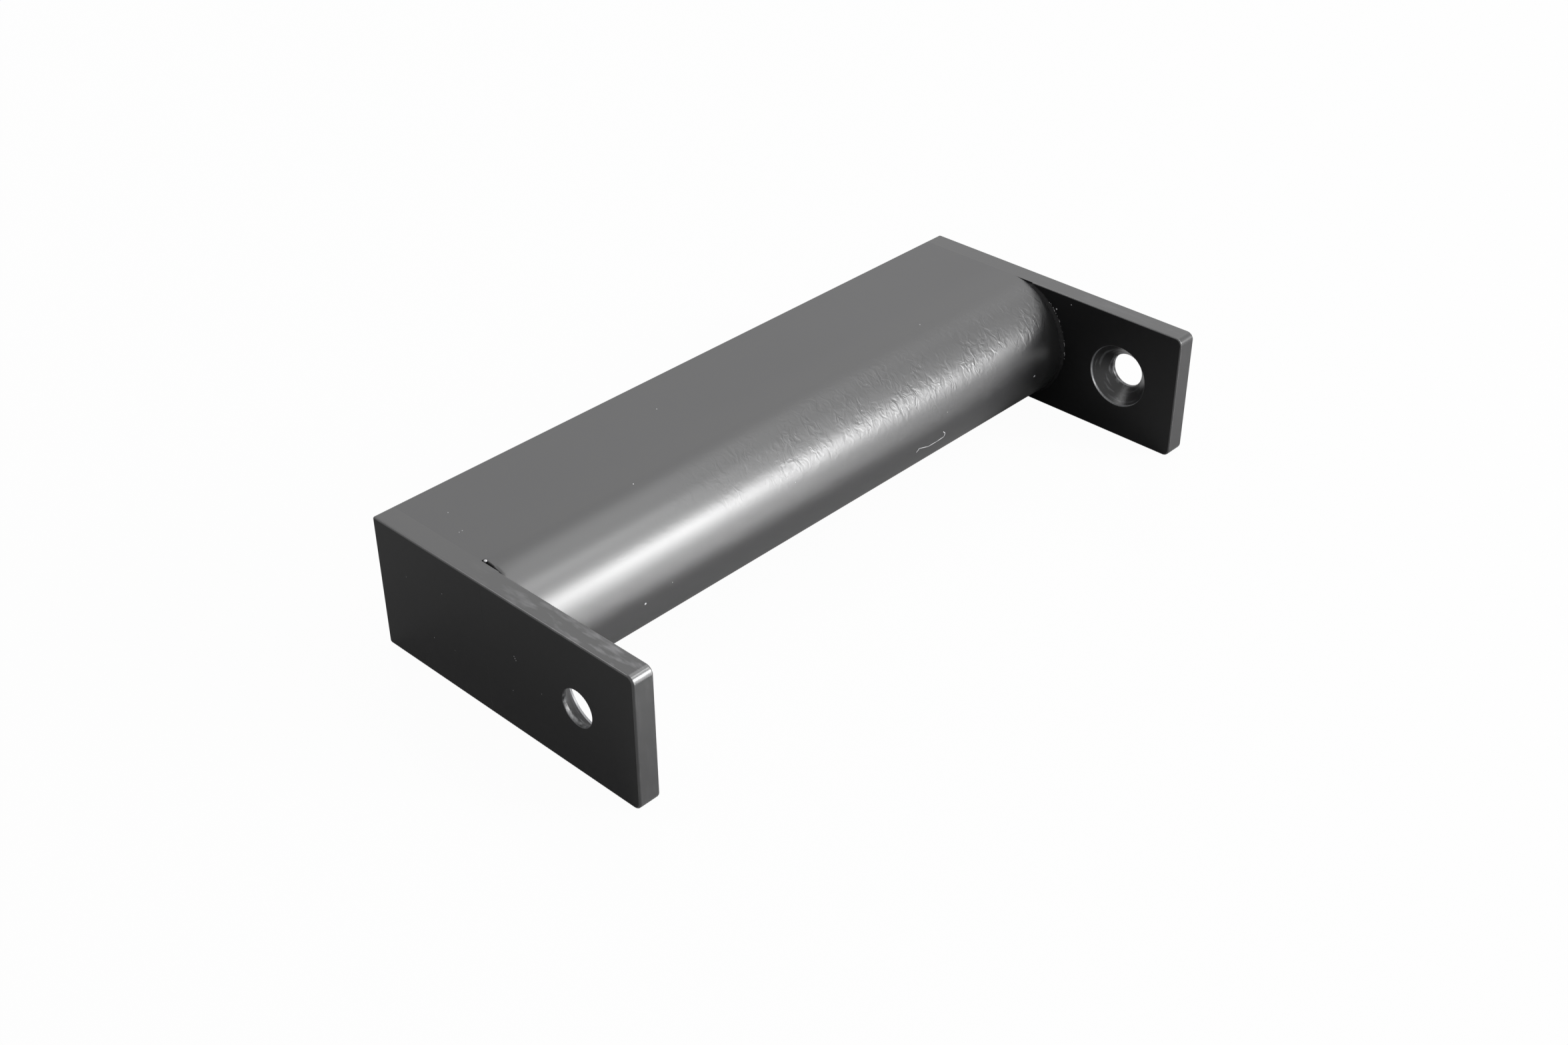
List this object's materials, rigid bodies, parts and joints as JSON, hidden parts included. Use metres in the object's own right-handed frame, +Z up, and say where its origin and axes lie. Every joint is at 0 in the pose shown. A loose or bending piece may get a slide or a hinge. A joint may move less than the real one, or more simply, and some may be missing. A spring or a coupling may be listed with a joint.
{
  "type": "cabinet handle",
  "caption": "U-shaped cabinet handle: a round-nosed grip bar between flat end plates, each with a countersunk screw hole near its free end.",
  "frame": {"origin": "middle of the handle, on the face that it lies on", "axes": "+X along the grip bar, from the left end plate to the right one; +Y from the plates' free ends to the grip bar's flat outer face; +Z up, through the handle's height"},
  "size_m": [0.14, 0.0608, 0.025],
  "materials": {
    "black_paint": "satin",
    "painted_weld": "satin"
  },
  "bodies": {
    "root": {"grip_bar": "black_paint", "left_end_plate": "black_paint", "right_end_plate": "black_paint", "left_weld_bead": "painted_weld", "right_weld_bead": "painted_weld"}
  },
  "joints": []
}
